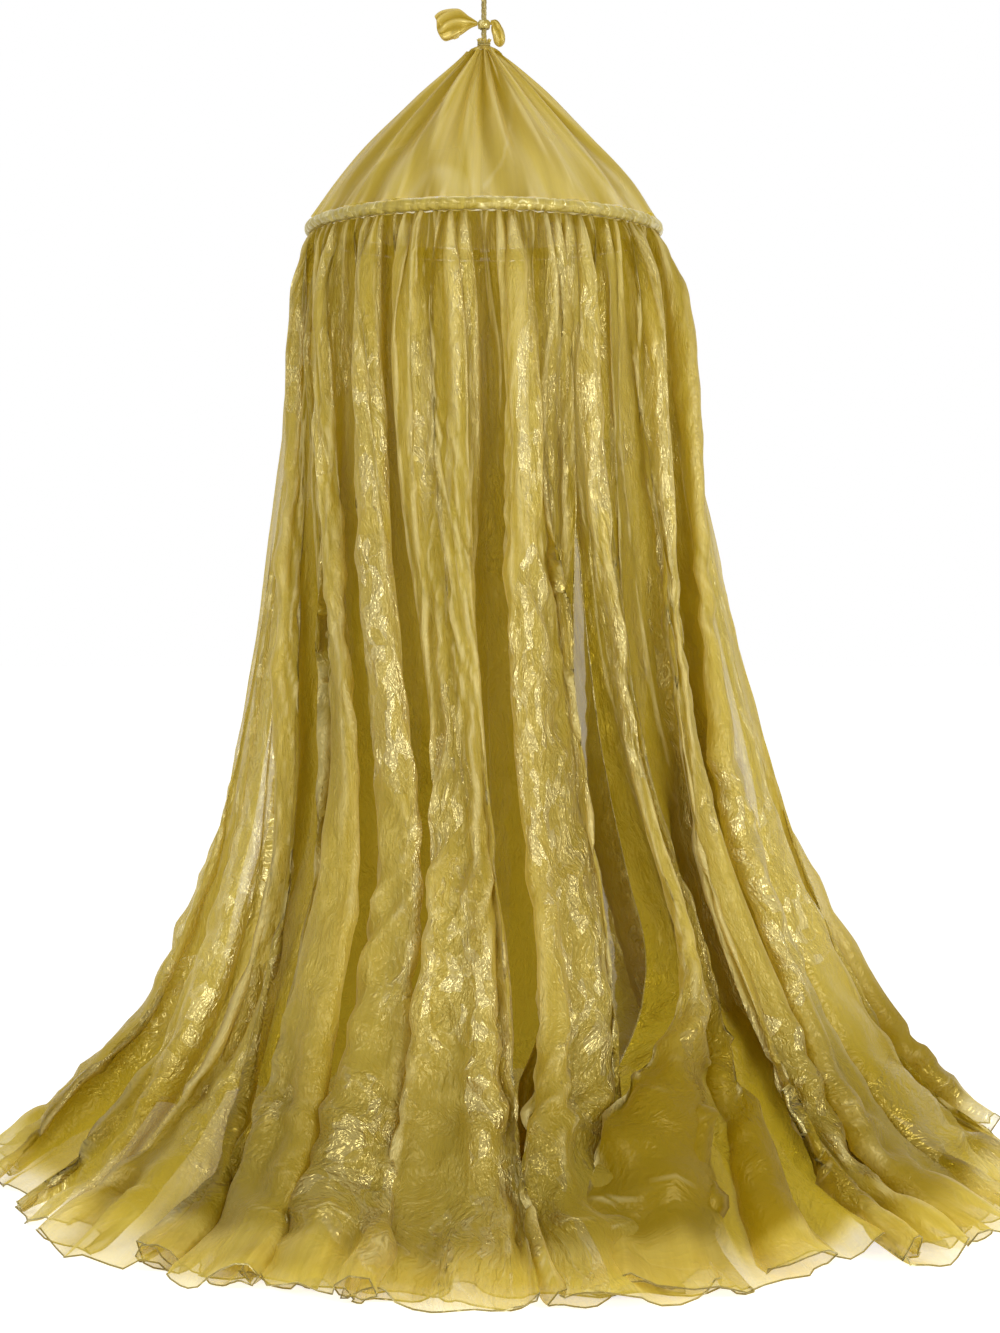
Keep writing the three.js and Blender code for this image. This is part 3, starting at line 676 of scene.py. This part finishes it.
def panelFolds(settings, panel, line):
    # the panel's points with its main folds, gathers and ripples, and what the finer shaping needs
    seed, rows = panel["seed"], line["length"]
    shape = {"rows": rows, "bottom": rows[-1], "turn": panel["turn"], "seed": seed}
    degrees, fullness = np.array(panel["folds"]), np.array(panel["fullness"])
    count = len(degrees)
    share = np.linspace(0, 1, panel["columns"])
    which, within, strength = findFolds(share, degrees * fullness, degrees)
    fullAt = fullness[which][:, None]
    fold = which[:, None]  # in the sheets of noise below, each fold has a place of its own
    share = share[:, None]
    cloth = share * panel["width"]

    # the valleys between folds wander sideways a little on their way down, but not at the panel's ends
    wander = np.stack([drift(k * 3.7 + 0.4, rows * 0.9 + k, seed) for k in range(count + 1)])
    wander *= settings["wander"] * smoothStep(0.08, 0.6, rows)
    # on the floor each fold turns away to one side
    turnAway = settings["turnAway"] * drift(np.arange(count + 1) * 1.7 + 0.3, 4.5, seed + 30) + 2.0
    wander += turnAway[:, None] * nearHem(shape, 0.7) ** 1.5
    wander[0] = wander[-1] = 0
    edges = runningSum(degrees)[:, None] + wander
    # full folds lap over their necks, and all of them lean
    full = np.clip(fullAt - 0.75, 0, 1.5)
    flare = nearHem(shape, 0.42, 0.04)
    neck = (0.35 + 1.15 * full) * smoothStep(0.02, 0.32, rows) + 0.22 * full * flare
    neck = neck * (1 + 0.2 * drift(fold * 5.1 + 0.5, rows * 1.1, seed + 1))
    way = np.where(np.random.default_rng(seed + 60).random(count) < 0.5, -1, 1)[which][:, None]
    lean = settings["lean"] * way + 0.3 * drift(fold * 4.3 + 0.2, rows * 1.1 + 7, seed + 2)
    lean = lean * smoothStep(0.1, 0.5, rows)
    wave = (1 - np.cos(fullTurn * within)) / 2
    # heads are narrower than the recesses between them, and spread into lobes at the hem
    pinch = (0.04 + 0.10 * np.clip(full, 0, 1)) * smoothStep(0.05, 0.4, rows)
    pinch = pinch * (1 + 0.5 * drift(fold * 3.3 + 0.9, rows * 1.3 + 2, seed + 20))
    pinch = pinch * (1 - 1.1 * flare)
    moved = (within + neck / fullTurn * np.sin(4 * np.pi * within) + pinch * np.sin(fullTurn * within)
             + lean * wave * (1 - wave) * 2.0)
    arc = edges[which] + (edges[which + 1] - edges[which]) * moved
    # under the casing the cloth is gathered evenly, so a full fold's cloth comes from farther along the ring
    settle = smoothStep(0.0, 1.15, rows)
    arc = arc * settle + share * panel["sweep"] * (1 - settle)
    swell = 1 + settings["swell"] * drift(fold * 2.9 + 0.7, rows * 1.4 + 3, seed + 3)
    # the sides hang nearly smooth, and fall into folds like the rest where they near the floor
    hung = np.clip((fullAt - 0.55) * 1.6, 0.2, 1)
    shallow = hung + np.maximum(0.8 - hung, 0) * nearHem(shape, 0.9, 0.35)
    rise = (1 - shallow * (1 - wave ** 0.85)) * strength
    # the heads are rounded, and more so where they spread on the floor
    offset = np.clip(np.abs(moved - 0.5) / 0.5, 0, 1) * wave
    rise = rise * (1 - (0.42 + 0.2 * flare) * shallow * offset ** 2)
    lift = settings["foldDepth"] * line["fold"] * rise * swell

    edge = smoothAlong(rows, line["places"], panel["edge"])
    beside = np.maximum(0, 1 - share * panel["sweep"] / settings["slitPull"])
    arc = arc + settings["slitSweep"] * edge * beside
    # the corner at the slit is swept across the floor, and may be heaped up
    corner = np.clip(1 - cloth / 0.75, 0, 1) ** 1.3 * nearHem(shape, 0.64, 0.14)
    pile = fullTurn * cloth / 0.27 + 0.8 * drift(cloth * 2.0, rows * 1.5, seed + 24)
    arc = arc - panel["cornerSweep"] * corner + panel["cornerPile"] * corner * np.sin(pile)
    angle = np.radians(settings["slitAngle"] + panel["turn"] * arc)
    narrow = (1 - panel["sideLift"]) * (1 - nearHem(shape, 0.42, 0.22))
    lift = lift * (1 - narrow * np.sin(angle) ** 2)
    lobe = settings["hemLobe"] * line["lobe"] * rise * (0.25 + 0.75 * hung)
    lobe = lobe * (1 - 0.4 * smoothStep(0.2, 0.9, -np.cos(angle)))
    reach = line["radius"] + lobe + line["out"] * lift
    reach = reach - (panel["cornerTuck"] + 0.022 * np.sin(fullTurn * cloth / 0.13)) * corner
    height = line["height"] + line["up"] * lift
    height = height + panel["cornerHeap"] * corner * (1 - nearHem(shape, 0.18, 0.02))
    piled = 0.5 * np.cos(pile + 1.2)
    height = height + 0.030 * (0.5 - piled) * corner
    # the hem's small ruffles
    hem = nearHem(shape, 0.20, 0.01)
    around = np.degrees(angle)
    roll = around * fullTurn / settings["rufflePitch"] + 2.2 * drift(around / 14 + 60, rows * 1.5, seed + 17)
    tall = 0.35 + np.abs(drift(around / 19 + 80, rows, seed + 18))
    calm = smoothStep(0, 0.03, (1 - share) * panel["width"])
    height = height + settings["ruffleHeight"] * (0.5 + 0.5 * np.sin(roll)) * tall * hem * calm
    reach = reach + settings["ruffleReach"] * np.sin(roll + 1) * hem * calm
    grid = ringPoints(reach, angle, aboveFloor(height))
    grid[..., 0] += settings["sideways"] * (line["radius"] - settings["ringRadius"]) / settings["reach"]
    shape.update(cloth=cloth, wave=wave, angle=angle, full=shallow, calm=calm, corner=corner)

    # gathers under the casing, which run together further down
    merge = drift(cloth * 3.1, rows * 7, seed + 4) * smoothStep(0.01, 0.16, rows) * 2.6
    tight = settings["gathers"] * panel["sweep"] / 360 * share * fullTurn
    pleat = np.sin(tight + merge + 0.9 * np.sin(tight * 0.31 + seed))
    fade = np.interp(rows, settings["gatherPlaces"], settings["gatherDepths"])
    each = 1 + 0.45 * drift(cloth * 17, rows * 2, seed + 5)
    grid = liftCloth(grid, shape, fade * pleat * each)
    bend = 2.4 * drift(cloth * 1.3, rows * 1.1, seed + 21)
    tuck = sharpen(np.sin(fullTurn * cloth / settings["tuckPitch"] + bend), 0.6)
    depth = np.interp(rows, settings["tuckPlaces"], settings["tuckDepths"]) * np.clip(shallow * 1.3, 0.2, 1)
    grid = liftCloth(grid, shape, depth * (tuck + 0.15 * np.sin(fullTurn * cloth / 0.13)))
    # lower down each fold spreads, and its face breaks into smaller folds
    bend = 2.2 * drift(cloth * 3.1, rows * 1.7, seed + 22)
    split = sharpen(np.sin(fullTurn * cloth / settings["splitPitch"] + bend), 0.7)
    split = split * (0.55 + 0.45 * drift(cloth * 4.7, rows * 2.2, seed + 23))
    spread = nearHem(shape, 0.95, 0.25) * np.maximum(0.3 + 0.7 * wave, corner)
    grid = liftCloth(grid, shape, settings["splitDepth"] * split * spread)
    # the cloth lies closest, layer upon layer, at the back of each fold; this also paints shade in the
    # recesses, weaker towards the back of the canopy
    front = 0.65 + 0.35 * np.cos(angle)
    recessShade = 2.3 * (1 - wave) ** 1.1 * np.clip((fullAt - 0.8) * 1.2, 0, 1)
    recessShade = recessShade * smoothStep(0.12, 0.55, rows) * front
    tucks = 1.1 * (0.5 - 0.5 * tuck) ** np.where(fullAt > 1, 3, 7) * np.clip(depth / 0.006, 0, 1)
    tucks = tucks * (1 - nearHem(shape, 0.75, 0.35))
    pleats = 0.9 * (0.5 - 0.5 * pleat) * np.clip(fade / 0.006, 0, 1)
    # painted shadow: a dark band just under the casing
    casingShadow = 2.2 * (1 - smoothStep(0, 0.022, rows))
    # the stack deepens the colour: partly real layering of tucks, gathers and the heap, partly painted shade
    shape["stack"] = recessShade + tucks + pleats + casingShadow + (0.9 + 1.1 * (0.5 + piled)) * corner

    # long soft ripples between the folds
    hang = smoothStep(0.04, 0.22, rows)
    sway = 0.6 * drift(cloth * 2.2, rows * 1.6, seed + 6)
    ripple = (0.008 * drift(cloth * 7 + sway, rows * 0.7, seed + 7)
              + 0.0022 * drift(cloth * 21 + sway * 2, rows * 0.9, seed + 8))
    grid = liftCloth(grid, shape, ripple * hang * (0.35 + 0.65 * shallow))
    grid[..., 2] = aboveFloor(grid[..., 2])
    return grid, shape


def liftCloth(grid, shape, amount):
    # moves the cloth along its own normals, and not at the seam at the back
    return grid - gridNormals(grid) * shape["turn"] * (amount * shape["calm"])[..., None]


def aboveFloor(height, least=0.0012, soft=0.003):
    # keeps the cloth off the floor, and lets it settle softly
    return floorLevel + least + np.logaddexp(0, (height - floorLevel) / soft - 0.4) * soft


def zigzag(x):
    # straight slopes with sharp turns, -1 to 1
    return 4 * np.abs(x - np.floor(x + 0.5)) - 1


def crushCloth(settings, grid, shape):
    # slanting drag lines, and crushed patches whose creases cross in sharp corners
    seed, cloth, rows = shape["seed"], shape["cloth"], shape["rows"]
    low = smoothStep(0.12, 0.5, rows)
    slant = drift(cloth * 9 + rows * 2.6, rows * 1.6, seed + 9)
    counter = drift(cloth * 8 - rows * 3.1, rows * 1.5 + 5, seed + 10)
    grid = liftCloth(grid, shape, 0.0045 * (np.abs(slant) - np.abs(counter)) * low * shape["full"])
    face = (0.25 + 0.75 * smoothStep(0.4, 0.9, shape["wave"])) * (0.25 + 0.75 * shape["full"])
    face = np.maximum(face, 2.6 * shape["corner"])
    floorward = 1.15 + 0.25 * nearHem(shape, 0.8, 0.3)
    onFloor = nearHem(shape, 0.5, 0.25) * (1 - nearHem(shape, 0.08))
    crush = 0
    creases = [(*each, 1) for each in settings["creases"]]
    creases += [(*each, onFloor) for each in settings["floorCreases"]]
    for k, (pitch, slope, depth, where) in enumerate(creases):
        across, along = math.cos(math.radians(slope)) / pitch, math.sin(math.radians(slope)) / pitch
        bent = 0.8 * drift(cloth * 6 + k * 5, rows * 5, seed + 40 + k)
        patch = smoothStep(-0.15, 0.25, drift(cloth * 4.4 + k * 9, rows * 2.6, seed + 50 + k))
        crush = crush + depth * where * patch * zigzag(cloth * across + rows * along + bent)
    grid = liftCloth(grid, shape, crush * face * floorward * (0.3 + 0.7 * low))
    grid[..., 2] = aboveFloor(grid[..., 2])
    return grid


def curtainLayers(settings, grid, cloth, shape):
    # the fine gathers spread out below the casing, and what lies on the floor is crumpled upon itself
    full = shape["full"]
    hidden = hiddenLayers(grid, cloth, settings["mostLayers"]) - 1
    gathered = 0.5 * hidden * (1 - smoothStep(0.03, 0.5, shape["rows"])) * (0.3 + 0.7 * full)
    heaped = nearHem(shape, 0.55, 0.25) * (2.6 - 1.6 * full + 0.9 * np.sin(shape["angle"]) ** 2)
    edge = 1 - nearHem(shape, 0.08, 0.02)
    return 0.92 + (1.1 * (full - 0.2) + gathered + heaped + shape["stack"]) * edge


def makeCurtain(settings, sides):
    line = curtainProfile(settings)
    for name, panel in sides.items():
        grid, shape = panelFolds(settings, panel, line)
        grid = crushCloth(settings, grid, shape)
        cloth = clothPlaces(shape["cloth"], shape["rows"] * settings["slack"])
        outward = -panel["turn"] * gridNormals(grid)
        # painted highlight along the outer edges of the folds
        edges = foldEdges(grid, outward, low=34, high=150) * (0.2 + 0.8 * shape["full"])
        layers = curtainLayers(settings, grid, cloth, shape)
        sheet = makeMesh(f"curtain_{name}", grid, cloth, layers=layers, edges=edges)
        finishPiece(sheet, "organza", "canopy", "organza", *panel["nodes"])
        # the rolled hem goes down the free edge at the slit, then along the bottom
        path = np.concatenate([grid[0, 2:], grid[1:, -1]])
        hemGrid = tubeGrid(path, settings["hemRadius"], settings["hemSides"])
        hemCloth = clothPlaces(np.arange(settings["hemSides"])[:, None] * 0.002, lengthAlong(path))
        hem = makeMesh(f"hem_{name}", hemGrid, hemCloth, closed=True)
        finishPiece(hem, "hemOrganza", "canopy", "organza")


makeCurtain(curtain, panels)
print("curtain is hung")

# cone of the crown
cone = {
    "foot": -0.4637, "top": -0.177, "footRadius": 0.290, "topRadius": 0.0228, "foldDepth": 0.018,
    "heights": [0, 0.2, 0.45, 0.7, 0.88, 1], "radii": [0, 0.17, 0.425, 0.69, 0.875, 1],
    "foldShares": [0.1, 0.5, 0.95, 1, 0.7, 0.25],
    "folds": [0.7, 1.3, 0.8, 1.6, 0.9, 1.2, 0.7, 1.4, 1, 1.5, 0.8, 1.2, 0.6, 1.6, 0.8, 1.1, 0.7],
    "columns": 480, "rows": 84, "seed": 51, "thickSeed": 365,
}


def makeCone(settings):
    seed, columns = settings["seed"], settings["columns"]
    share = np.arange(columns) / columns
    up = np.linspace(0, 1, settings["rows"])[None]  # from the casing to the neck
    folds = np.array(settings["folds"])
    _, within, strength = findFolds(share, folds, folds)
    height = settings["foot"] + (settings["top"] - settings["foot"]) * up
    shrunk = smoothAlong(up, settings["heights"], settings["radii"])
    radius = settings["footRadius"] + (settings["topRadius"] - settings["footRadius"]) * shrunk
    fold = smoothAlong(up, settings["heights"], settings["foldShares"][::-1])
    wave = np.clip((1 - np.cos(fullTurn * within)) / 2 * strength, 0, 1)
    around = share[:, None] * fullTurn
    fanX, fanY = np.cos(around) * 3.0, np.sin(around) * 3.0
    lean = 0.10 * drift(fanX * 2 + 9, up * 1.8, seed)
    narrow = np.clip((radius - 0.02) / 0.25, 0, 1)
    pleat = np.sin(around * 52 + 3 * drift(fanX + 5, fanY + up * 2, seed + 1))
    tied = np.sin(around * 13 + 2 * drift(fanX, fanY, seed + 5))
    pull = drift(fanX * 2.1 + 11, fanY * 2.1 + up * 1.6, seed + 2)
    gathers = np.sin(around * 78 + 2 * drift(fanX * 3, fanY * 3, seed + 3))
    radial = radius + settings["foldDepth"] * fold * wave
    radial = radial + 0.0016 * pleat * (1 - narrow * 0.9) * smoothStep(0, 0.1, up)
    radial = radial + 0.005 * tied * np.exp((up - 1) * 26)
    radial = radial + 0.0085 * sharpen(pull, 0.8) * narrow ** 0.5
    radial = radial + 0.0016 * gathers * np.exp(-up * 16)
    angle = around + np.radians(8) * lean * smoothStep(0, 0.3, up) * (1 - smoothStep(0.75, 1, up))
    grid = ringPoints(radial, angle, height)[:, ::-1]
    cloth = clothPlaces(share[:, None] * 2.3, up * 0.42)[:, ::-1]
    thick = drift(fanX * 1.5 + 20, fanY * 1.5 + up[:, ::-1] * 1.1, settings["thickSeed"])
    # painted shade in the recesses between folds, on top of the real gathers and random thick patches
    layers = (0.8 + 0.45 * (hiddenLayers(grid, cloth, 3.5) - 1) + 0.9 * (1 - wave) ** 2
              + 1.7 * smoothStep(-0.25, 0.45, thick))
    outward = gridNormals(grid, True)
    outward *= np.sign(np.sum(outward * grid * [1, 1, 0], axis=2, keepdims=True))
    # painted highlight on the edges of some folds
    edges = foldEdges(grid, outward, True, 12, 70) * smoothStep(-0.1, 0.4, pull[:, ::-1])
    sheet = makeMesh("crownCone", grid, cloth, closed=True, layers=layers, edges=edges)
    finishPiece(sheet, "coneOrganza", "canopy", "organza", "crown_cone")


makeCone(cone)

# casing round the hoop
casing = {
    "middle": -0.475, "ringRadius": 0.290, "radius": 0.0112, "gap": 0.018, "columns": 900, "sides": 28,
    "wrinkles": 84, "depth": 0.0027, "seed": 71,
}


def makeCasing(settings):
    half = math.pi - settings["gap"] / 2 / settings["ringRadius"]
    turn = np.linspace(-half, half, settings["columns"])
    around = np.linspace(0, fullTurn, settings["sides"] + 1)[:-1, None]
    loops = turn * settings["wrinkles"] / fullTurn
    shift = 1.3 * drift(loops * 0.5, around * 0.6 + 3, settings["seed"])
    wrinkle = np.abs(np.sin(np.pi * loops + 0.9 * around + 2 * shift)) ** 0.8
    uneven = 0.6 + 0.7 * np.abs(drift(loops * 0.37, around, settings["seed"] + 1))
    size = settings["radius"] - settings["depth"] * (1 - wrinkle) * uneven
    # a stitched groove under the tube, where the curtain is sewn on
    size = size - 0.0018 * np.exp(-((around - 1.5 * np.pi) / 0.22) ** 2)
    radial = settings["ringRadius"] + size * np.cos(around)
    grid = ringPoints(radial, turn, settings["middle"] + size * np.sin(around))
    cloth = clothPlaces(turn * settings["ringRadius"], around * settings["radius"])
    # painted highlight: a pale line along the top of the tube
    topHighlight = smoothStep(0.66, 0.96, np.sin(around)) * (0.35 + 0.65 * wrinkle)
    piece = makeMesh("hoopCasing", grid, cloth, closed=True, edges=topHighlight)
    finishPiece(piece, "bandCloth", "canopy", "band", "hoop_casing")


makeCasing(casing)
print("cone and casing are made")

# gather, binding and bow
gather = {
    "foot": -0.1767, "height": 0.021, "footRadius": 0.0265, "neckRadius": 0.0088, "ruffleRadius": 0.0125,
    "pleats": 11, "columns": 340, "rows": 60, "seed": 83,
}


def makeGather(settings):
    around = (np.arange(settings["columns"]) / settings["columns"] * fullTurn)[:, None]
    up = np.linspace(0, 1, settings["rows"])[None]
    places = [0, 0.2, 0.40, 0.56, 0.9, 1]
    radii = [settings["footRadius"], 0.0225, 0.0135, settings["neckRadius"], 0.0115, settings["ruffleRadius"]]
    base = smoothAlong(up, places, radii)
    depth = smoothAlong(up, places, [0.0070, 0.0036, 0.0012, 0.0012, 0.0024, 0.0040])
    stray = 1.4 * drift(np.cos(around) * 2 + 5, np.sin(around) * 2 + up * 2, settings["seed"])
    phase = around * settings["pleats"] + stray + up * 1.1
    radial = base - depth * (0.5 + 0.5 * np.sin(phase)) + 0.0006 * np.sin(phase * 2.7)
    ruffle = 0.0014 * np.sin(phase * 0.5 + 1) * smoothStep(0.8, 1, up)
    grid = ringPoints(radial, around, settings["foot"] + settings["height"] * up + ruffle)
    cloth = clothPlaces(around / fullTurn * 0.3, up * 0.03)
    # painted shade in the pleat valleys and painted highlight on the pleat crests
    piece = makeMesh("neckGather", grid, cloth, closed=True, layers=2.4 - 0.9 * np.sin(phase),
                     edges=smoothStep(0.75, 1, np.sin(phase)))
    finishPiece(piece, "coneOrganza", "canopy", "organza", "neck_gather")


makeGather(gather)
binding = {"radius": 0.0103, "thread": 0.001, "turns": 3, "pitch": 0.0025, "middle": -0.1643}


def makeBinding(settings):
    turn = np.linspace(0, settings["turns"] * fullTurn, 200)
    foot = settings["middle"] - settings["pitch"] * settings["turns"] / 2
    path = ringPoints(settings["radius"], turn, foot + settings["pitch"] * turn / fullTurn)
    piece = closeTube("neckBinding", path, settings["thread"], 12, (2, 0.25, 60))
    finishPiece(piece, "hemOrganza", "canopy", "band", "neck_binding")


makeBinding(binding)

bow = {
    "height": -0.131, "knotRadius": 0.011, "knotHeight": 0.015, "hole": 0.0052,
}


def makeBowKnot(settings):
    around = np.linspace(0, fullTurn, 121)[:-1][:, None]
    section = np.linspace(0, fullTurn, 49)[None]
    middle = (settings["knotRadius"] + settings["hole"]) / 2
    half = (settings["knotRadius"] - settings["hole"]) / 2
    phase = section * 2 + around * 3 + 0.8 * np.sin(around * 2)
    size = 1 - 0.14 * (0.5 + 0.5 * np.sin(phase * 2)) + 0.03 * np.sin(phase * 7)
    radial = middle + half * size * np.cos(section)
    height = settings["height"] + settings["knotHeight"] / 2 * size * np.sin(section)
    cloth = clothPlaces(around * 0.01, section * 0.006)
    piece = makeMesh("bowKnot", ringPoints(radial, around, height), cloth, closed=True)
    finishPiece(piece, "bandCloth", "canopy", "organza", "bow_knot")


makeBowKnot(bow)

ears = {
    "bowLoopLeft": {
        "turn": -1, "length": 0.067, "droop": 0.026, "halfHeight": 0.0245, "halfThickness": 0.010,
        "along": [0, 0.21, 0.46, 0.72, 0.9, 1], "drop": [-0.08, -0.14, -0.15, 0.04, 0.33, 0.42],
        "high": [0.13, 0.42, 0.84, 1, 0.82, 0.56], "thick": [0.35, 0.6, 0.9, 1, 0.8, 0.4],
        "pleats": 7, "roundFrom": 0.72, "node": "bow_loop_left", "seed": 101,
    },
    "bowLoopRight": {
        "turn": 1, "length": 0.016, "droop": 0.037, "halfHeight": 0.0095, "halfThickness": 0.008,
        "along": [0, 0.38, 0.7, 0.92, 1], "drop": [-0.12, -0.08, 0.22, 0.62, 1],
        "high": [0.35, 0.66, 0.95, 1, 0.6], "thick": [0.4, 0.7, 1, 1, 0.5],
        "pleats": 5, "roundFrom": 0.85, "node": "bow_loop_right", "seed": 113,
    },
}


def makeEar(name, settings):
    # a puffed ear of the same cloth, pinched at the knot, with folds that fan out from the pinch
    steps = np.linspace(0, 1, len(settings["along"]))
    t = np.linspace(0, 1, 60)
    tables = (settings[key] for key in ("along", "drop", "high", "thick"))
    along, drop, high, thick = (smoothAlong(t, steps, table) for table in tables)
    middle = np.stack([settings["turn"] * (bow["knotRadius"] + settings["length"] * along), np.zeros(len(t)),
                       bow["height"] - settings["droop"] * drop], -1)
    tangent = np.gradient(middle, axis=0)
    tangent /= np.linalg.norm(tangent, axis=1, keepdims=True)
    across = np.stack([-tangent[:, 2], np.zeros(len(t)), tangent[:, 0]], -1)
    around = np.linspace(0, fullTurn, 97)[:-1][:, None]
    pleat = np.sin(settings["pleats"] * around + 2.2 * drift(around * 1.1 + 3, t * 2, settings["seed"]))
    flutter = drift(around * 1.6 + 7, t * 3.1, settings["seed"] + 1)
    tip = np.maximum(t - settings["roundFrom"], 0) / (1 - settings["roundFrom"])
    size = (1 + 0.13 * pleat * np.minimum(1, 0.5 + t) + 0.12 * flutter) * np.sqrt(np.clip(1 - tip ** 2, 0, 1))
    tall = settings["halfHeight"] * high * np.cos(around) * size
    deep = settings["halfThickness"] * thick * np.sin(around) * size
    grid = middle + across * tall[..., None] + np.array([0, 1.0, 0]) * deep[..., None]
    cloth = clothPlaces(around * settings["halfHeight"], t * settings["length"] * 1.2)
    # painted highlight on the ear's top and bottom rims and pleat crests; painted shade in the pleat valleys
    # and towards the knot
    earHighlight = smoothStep(0.94, 1, np.abs(np.cos(around))) + 0.8 * smoothStep(0.6, 1, pleat) * (1 - 0.5 * t)
    piece = makeMesh(name, grid, cloth, closed=True, layers=3.0 - 0.8 * pleat - 0.5 * t,
                     edges=0.75 * np.clip(earHighlight, 0, 1))
    finishPiece(piece, "coneOrganza", "canopy", "organza", settings["node"])


for earName, earSettings in ears.items():
    makeEar(earName, earSettings)
print("gather and bow are tied")

# floor, light and world
stageSettings = {
    "floorColour": (0.80, 0.80, 0.80), "glow": 0.72, "worldLight": 0.46,
    "lamps": {
        "key": {"place": (-2.0, -3.6, 0.3), "size": 1.6, "power": 84},
        "fill": {"place": (2.6, -3.2, -0.5), "size": 1.6, "power": 112},
    },
}


def seenDirectly(tree):
    # 1 where the camera, a reflection or glass sees it, 0 where it would light the object
    path = tree.nodes.new("ShaderNodeLightPath")
    seen = doMath(tree, "MAXIMUM", path.outputs["Is Camera Ray"], path.outputs["Is Glossy Ray"])
    return doMath(tree, "MAXIMUM", seen, path.outputs["Is Transmission Ray"])


def makeStage(settings):
    floor = makeMesh("floor", np.array([[(x, y, floorLevel) for y in (-30.0, 30.0)] for x in (-30.0, 30.0)]))
    material, tree, shader = newMaterial("floorPaper")
    pale = settings["floorColour"]
    _, colour = grainColour(tree, 3.0, 2.0, [(0.3, tuple(c - 0.01 for c in pale)), (0.7, pale)])
    fill(tree, shader, {
        "Base Color": colour,
        "Roughness": 0.9,
        "Specular IOR Level": 0.0,
        "Emission Color": (1, 1, 1),
        "Emission Strength": doMath(tree, "MULTIPLY", seenDirectly(tree), settings["glow"]),
    })
    floor.data.materials.append(material)

    world = bpy.data.worlds.new("studioWorld")
    scene.world = world
    world.use_nodes = True
    tree = world.node_tree
    dim = settings["worldLight"]
    strength = doMath(tree, "MULTIPLY_ADD", seenDirectly(tree), 1 - dim, dim)
    fill(tree, tree.nodes["Background"], {"Color": (1, 1, 1), "Strength": strength})

    for name, lamp in settings["lamps"].items():
        data = bpy.data.lights.new(name, "AREA")
        data.size = lamp["size"]
        data.energy = lamp["power"]
        holder = bpy.data.objects.new(name, data)
        holder.location = lamp["place"]
        x, y, z = np.array([0, 0, -1.1]) - np.array(lamp["place"])
        holder.rotation_euler = (math.atan2(math.hypot(x, y), -z), 0, math.atan2(x, -y) + math.pi)
        scene.collection.objects.link(holder)


makeStage(stageSettings)
print("floor and lights are set")
